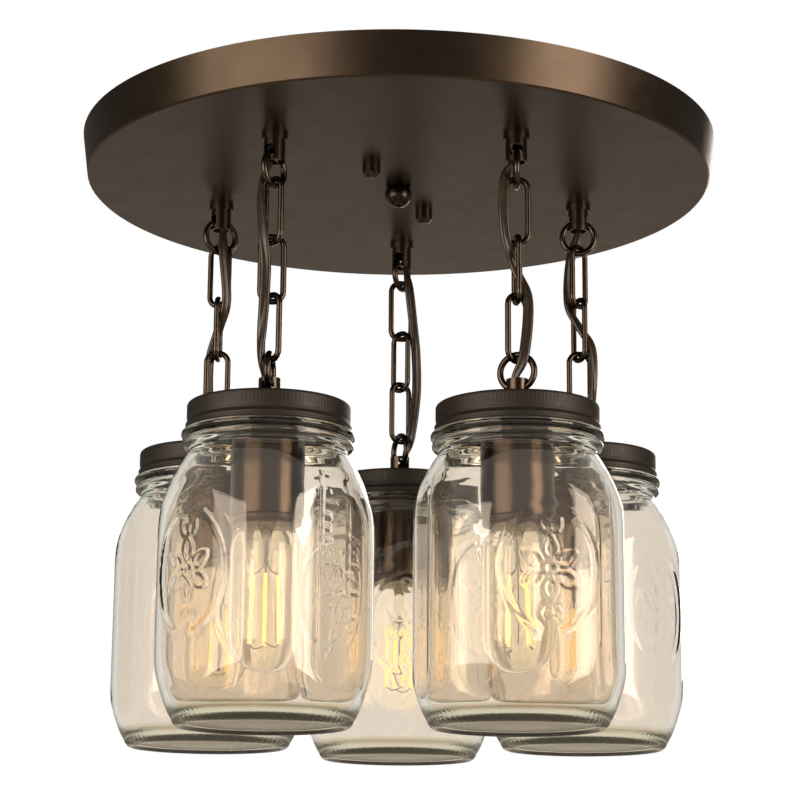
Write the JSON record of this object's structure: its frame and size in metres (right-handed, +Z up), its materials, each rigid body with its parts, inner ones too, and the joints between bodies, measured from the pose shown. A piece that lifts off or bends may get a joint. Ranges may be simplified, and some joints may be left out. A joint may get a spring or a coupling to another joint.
{
  "type": "semi-flush ceiling light",
  "caption": "Round bronze ceiling pan carrying clear glass jar pendants on short chains, with screw lids and tubular bulbs.",
  "frame": {"origin": "centre of the ceiling plane, on the axis of the pan, level with its open rim", "axes": "+Z up into the ceiling, +X to the right and +Y to the back in the picture; the light hangs towards -Z"},
  "size_m": [0.3659, 0.366, 0.3459],
  "materials": {
    "bronze_paint": "satin dark bronze paint",
    "bronze_hardware": "glossy dark bronze paint",
    "lid_bronze": "brushed dark bronze",
    "zinc_steel": "zinc plated",
    "brown_cord": "matt brown insulation",
    "black_plastic": "matt black",
    "clear_glass": "clear, slightly green",
    "bulb": "clear glass tube over a metal screw base"
  },
  "bodies": {
    "canopy": {"canopy_pan": "bronze_paint", "canopy_loops": "bronze_hardware", "loop_nuts": "zinc_steel", "box_strap": "zinc_steel", "stud_strap": "zinc_steel", "mount_studs": "zinc_steel", "cap_nuts": "bronze_hardware", "center_nipple": "zinc_steel", "ball_knob": "bronze_hardware", "splice_connectors": "black_plastic"},
    "ring_back": {"top_ring_back": "bronze_hardware"},
    "chain_back": {"links_back": "bronze_hardware", "low_ring_back": "bronze_hardware", "cord_back": "brown_cord"},
    "shade_back": {"lid_loop_back": "bronze_hardware", "lid_disc_back": "lid_bronze", "socket_back": "bronze_hardware"},
    "band_back": {"screw_band_back": "lid_bronze"},
    "jar_back": {"jar_back": "clear_glass"},
    "bulb_back": {"bulb_back": "bulb"},
    "ring_left": {"top_ring_left": "bronze_hardware"},
    "chain_left": {"links_left": "bronze_hardware", "low_ring_left": "bronze_hardware", "cord_left": "brown_cord"},
    "shade_left": {"lid_loop_left": "bronze_hardware", "lid_disc_left": "lid_bronze", "socket_left": "bronze_hardware"},
    "band_left": {"screw_band_left": "lid_bronze"},
    "jar_left": {"jar_left": "clear_glass"},
    "bulb_left": {"bulb_left": "bulb"},
    "ring_front_left": {"top_ring_front_left": "bronze_hardware"},
    "chain_front_left": {"links_front_left": "bronze_hardware", "low_ring_front_left": "bronze_hardware", "cord_front_left": "brown_cord"},
    "shade_front_left": {"lid_loop_front_left": "bronze_hardware", "lid_disc_front_left": "lid_bronze", "socket_front_left": "bronze_hardware"},
    "band_front_left": {"screw_band_front_left": "lid_bronze"},
    "jar_front_left": {"jar_front_left": "clear_glass"},
    "bulb_front_left": {"bulb_front_left": "bulb"},
    "ring_front_right": {"top_ring_front_right": "bronze_hardware"},
    "chain_front_right": {"links_front_right": "bronze_hardware", "low_ring_front_right": "bronze_hardware", "cord_front_right": "brown_cord"},
    "shade_front_right": {"lid_loop_front_right": "bronze_hardware", "lid_disc_front_right": "lid_bronze", "socket_front_right": "bronze_hardware"},
    "band_front_right": {"screw_band_front_right": "lid_bronze"},
    "jar_front_right": {"jar_front_right": "clear_glass"},
    "bulb_front_right": {"bulb_front_right": "bulb"},
    "ring_right": {"top_ring_right": "bronze_hardware"},
    "chain_right": {"links_right": "bronze_hardware", "low_ring_right": "bronze_hardware", "cord_right": "brown_cord"},
    "shade_right": {"lid_loop_right": "bronze_hardware", "lid_disc_right": "lid_bronze", "socket_right": "bronze_hardware"},
    "band_right": {"screw_band_right": "lid_bronze"},
    "jar_right": {"jar_right": "clear_glass"},
    "bulb_right": {"bulb_right": "bulb"}
  },
  "joints": [
    {"name": "ring_swing_back", "type": "hinge", "parent": "canopy", "child": "ring_back", "pos_m": [0, 0.112, -0.0339], "axis": [0.4226, 0.9063, 0], "range_deg": [-1.5, 1.5], "deforming": ["cord_back"]},
    {"name": "chain_swing_back", "type": "hinge", "parent": "ring_back", "child": "chain_back", "pos_m": [0, 0.112, -0.0493], "axis": [0.9848, 0.1736, 0], "range_deg": [-1.5, 20], "deforming": ["cord_back"]},
    {"name": "jar_swing_back", "type": "hinge", "parent": "chain_back", "child": "shade_back", "pos_m": [0, 0.112, -0.1663], "axis": [0.4226, -0.9063, 0], "range_deg": [-1.5, 1.5], "deforming": ["cord_back"]},
    {"name": "band_turn_back", "type": "hinge", "parent": "shade_back", "child": "band_back", "pos_m": [0, 0.112, -0.1762], "axis": [0, 0, 1], "range_deg": [0, 540]},
    {"name": "jar_drop_back", "type": "slide", "parent": "shade_back", "child": "jar_back", "axis": [0, 0, -1], "range_m": [0, 0.00953]},
    {"name": "bulb_turn_back", "type": "hinge", "parent": "shade_back", "child": "bulb_back", "pos_m": [0, 0.112, -0.2403], "axis": [0, 0, 1], "range_deg": [0, 360]},
    {"name": "ring_swing_left", "type": "hinge", "parent": "canopy", "child": "ring_left", "pos_m": [-0.10652, 0.03461, -0.0339], "axis": [0.866, 0.5, 0], "range_deg": [-1.5, 18], "deforming": ["cord_left"]},
    {"name": "chain_swing_left", "type": "hinge", "parent": "ring_left", "child": "chain_left", "pos_m": [-0.10652, 0.03461, -0.0493], "axis": [-0.9063, 0.4226, 0], "range_deg": [-1.5, 1.5], "deforming": ["cord_left"]},
    {"name": "jar_swing_left", "type": "hinge", "parent": "chain_left", "child": "shade_left", "pos_m": [-0.10652, 0.03461, -0.1663], "axis": [0.1736, 0.9848, 0], "range_deg": [-1.5, 18], "deforming": ["cord_left"]},
    {"name": "band_turn_left", "type": "hinge", "parent": "shade_left", "child": "band_left", "pos_m": [-0.10652, 0.03461, -0.1762], "axis": [0, 0, 1], "range_deg": [0, 540]},
    {"name": "jar_drop_left", "type": "slide", "parent": "shade_left", "child": "jar_left", "axis": [0, 0, -1], "range_m": [0, 0.00953]},
    {"name": "bulb_turn_left", "type": "hinge", "parent": "shade_left", "child": "bulb_left", "pos_m": [-0.10652, 0.03461, -0.2403], "axis": [0, 0, 1], "range_deg": [0, 360]},
    {"name": "ring_swing_front_left", "type": "hinge", "parent": "canopy", "child": "ring_front_left", "pos_m": [-0.06583, -0.09061, -0.0339], "axis": [0.5, 0.866, 0], "range_deg": [-1.5, 1.5], "deforming": ["cord_front_left"]},
    {"name": "chain_swing_front_left", "type": "hinge", "parent": "ring_front_left", "child": "chain_front_left", "pos_m": [-0.06583, -0.09061, -0.0493], "axis": [-0.7071, 0.7071, 0], "range_deg": [-1.5, 20], "deforming": ["cord_front_left"]},
    {"name": "jar_swing_front_left", "type": "hinge", "parent": "chain_front_left", "child": "shade_front_left", "pos_m": [-0.06583, -0.09061, -0.1663], "axis": [0.1045, 0.9945, 0], "range_deg": [-1.5, 18], "deforming": ["cord_front_left"]},
    {"name": "band_turn_front_left", "type": "hinge", "parent": "shade_front_left", "child": "band_front_left", "pos_m": [-0.06583, -0.09061, -0.1762], "axis": [0, 0, 1], "range_deg": [0, 540]},
    {"name": "jar_drop_front_left", "type": "slide", "parent": "shade_front_left", "child": "jar_front_left", "axis": [0, 0, -1], "range_m": [0, 0.00953]},
    {"name": "bulb_turn_front_left", "type": "hinge", "parent": "shade_front_left", "child": "bulb_front_left", "pos_m": [-0.06583, -0.09061, -0.2403], "axis": [0, 0, 1], "range_deg": [0, 360]},
    {"name": "ring_swing_front_right", "type": "hinge", "parent": "canopy", "child": "ring_front_right", "pos_m": [0.06583, -0.09061, -0.0339], "axis": [0, -1, 0], "range_deg": [-1.5, 18], "deforming": ["cord_front_right"]},
    {"name": "chain_swing_front_right", "type": "hinge", "parent": "ring_front_right", "child": "chain_front_right", "pos_m": [0.06583, -0.09061, -0.0493], "axis": [-1, 0, 0], "range_deg": [-1.5, 20], "deforming": ["cord_front_right"]},
    {"name": "jar_swing_front_right", "type": "hinge", "parent": "chain_front_right", "child": "shade_front_right", "pos_m": [0.06583, -0.09061, -0.1663], "axis": [-0.9397, 0.342, 0], "range_deg": [-1.5, 18], "deforming": ["cord_front_right"]},
    {"name": "band_turn_front_right", "type": "hinge", "parent": "shade_front_right", "child": "band_front_right", "pos_m": [0.06583, -0.09061, -0.1762], "axis": [0, 0, 1], "range_deg": [0, 540]},
    {"name": "jar_drop_front_right", "type": "slide", "parent": "shade_front_right", "child": "jar_front_right", "axis": [0, 0, -1], "range_m": [0, 0.00953]},
    {"name": "bulb_turn_front_right", "type": "hinge", "parent": "shade_front_right", "child": "bulb_front_right", "pos_m": [0.06583, -0.09061, -0.2403], "axis": [0, 0, 1], "range_deg": [0, 360]},
    {"name": "ring_swing_right", "type": "hinge", "parent": "canopy", "child": "ring_right", "pos_m": [0.10652, 0.03461, -0.0339], "axis": [1, 0, 0], "range_deg": [-1.5, 1.5], "deforming": ["cord_right"]},
    {"name": "chain_swing_right", "type": "hinge", "parent": "ring_right", "child": "chain_right", "pos_m": [0.10652, 0.03461, -0.0493], "axis": [-0.6428, -0.766, 0], "range_deg": [-1.5, 20], "deforming": ["cord_right"]},
    {"name": "jar_swing_right", "type": "hinge", "parent": "chain_right", "child": "shade_right", "pos_m": [0.10652, 0.03461, -0.1663], "axis": [0, -1, 0], "range_deg": [-1.5, 18], "deforming": ["cord_right"]},
    {"name": "band_turn_right", "type": "hinge", "parent": "shade_right", "child": "band_right", "pos_m": [0.10652, 0.03461, -0.1762], "axis": [0, 0, 1], "range_deg": [0, 540]},
    {"name": "jar_drop_right", "type": "slide", "parent": "shade_right", "child": "jar_right", "axis": [0, 0, -1], "range_m": [0, 0.00953]},
    {"name": "bulb_turn_right", "type": "hinge", "parent": "shade_right", "child": "bulb_right", "pos_m": [0.10652, 0.03461, -0.2403], "axis": [0, 0, 1], "range_deg": [0, 360]}
  ],
  "couplings": [
    {"joint": "band_turn_back", "follows": "jar_drop_back", "rad_per_m": 989.48},
    {"joint": "band_turn_left", "follows": "jar_drop_left", "rad_per_m": 989.48},
    {"joint": "band_turn_front_left", "follows": "jar_drop_front_left", "rad_per_m": 989.48},
    {"joint": "band_turn_front_right", "follows": "jar_drop_front_right", "rad_per_m": 989.48},
    {"joint": "band_turn_right", "follows": "jar_drop_right", "rad_per_m": 989.48}
  ]
}
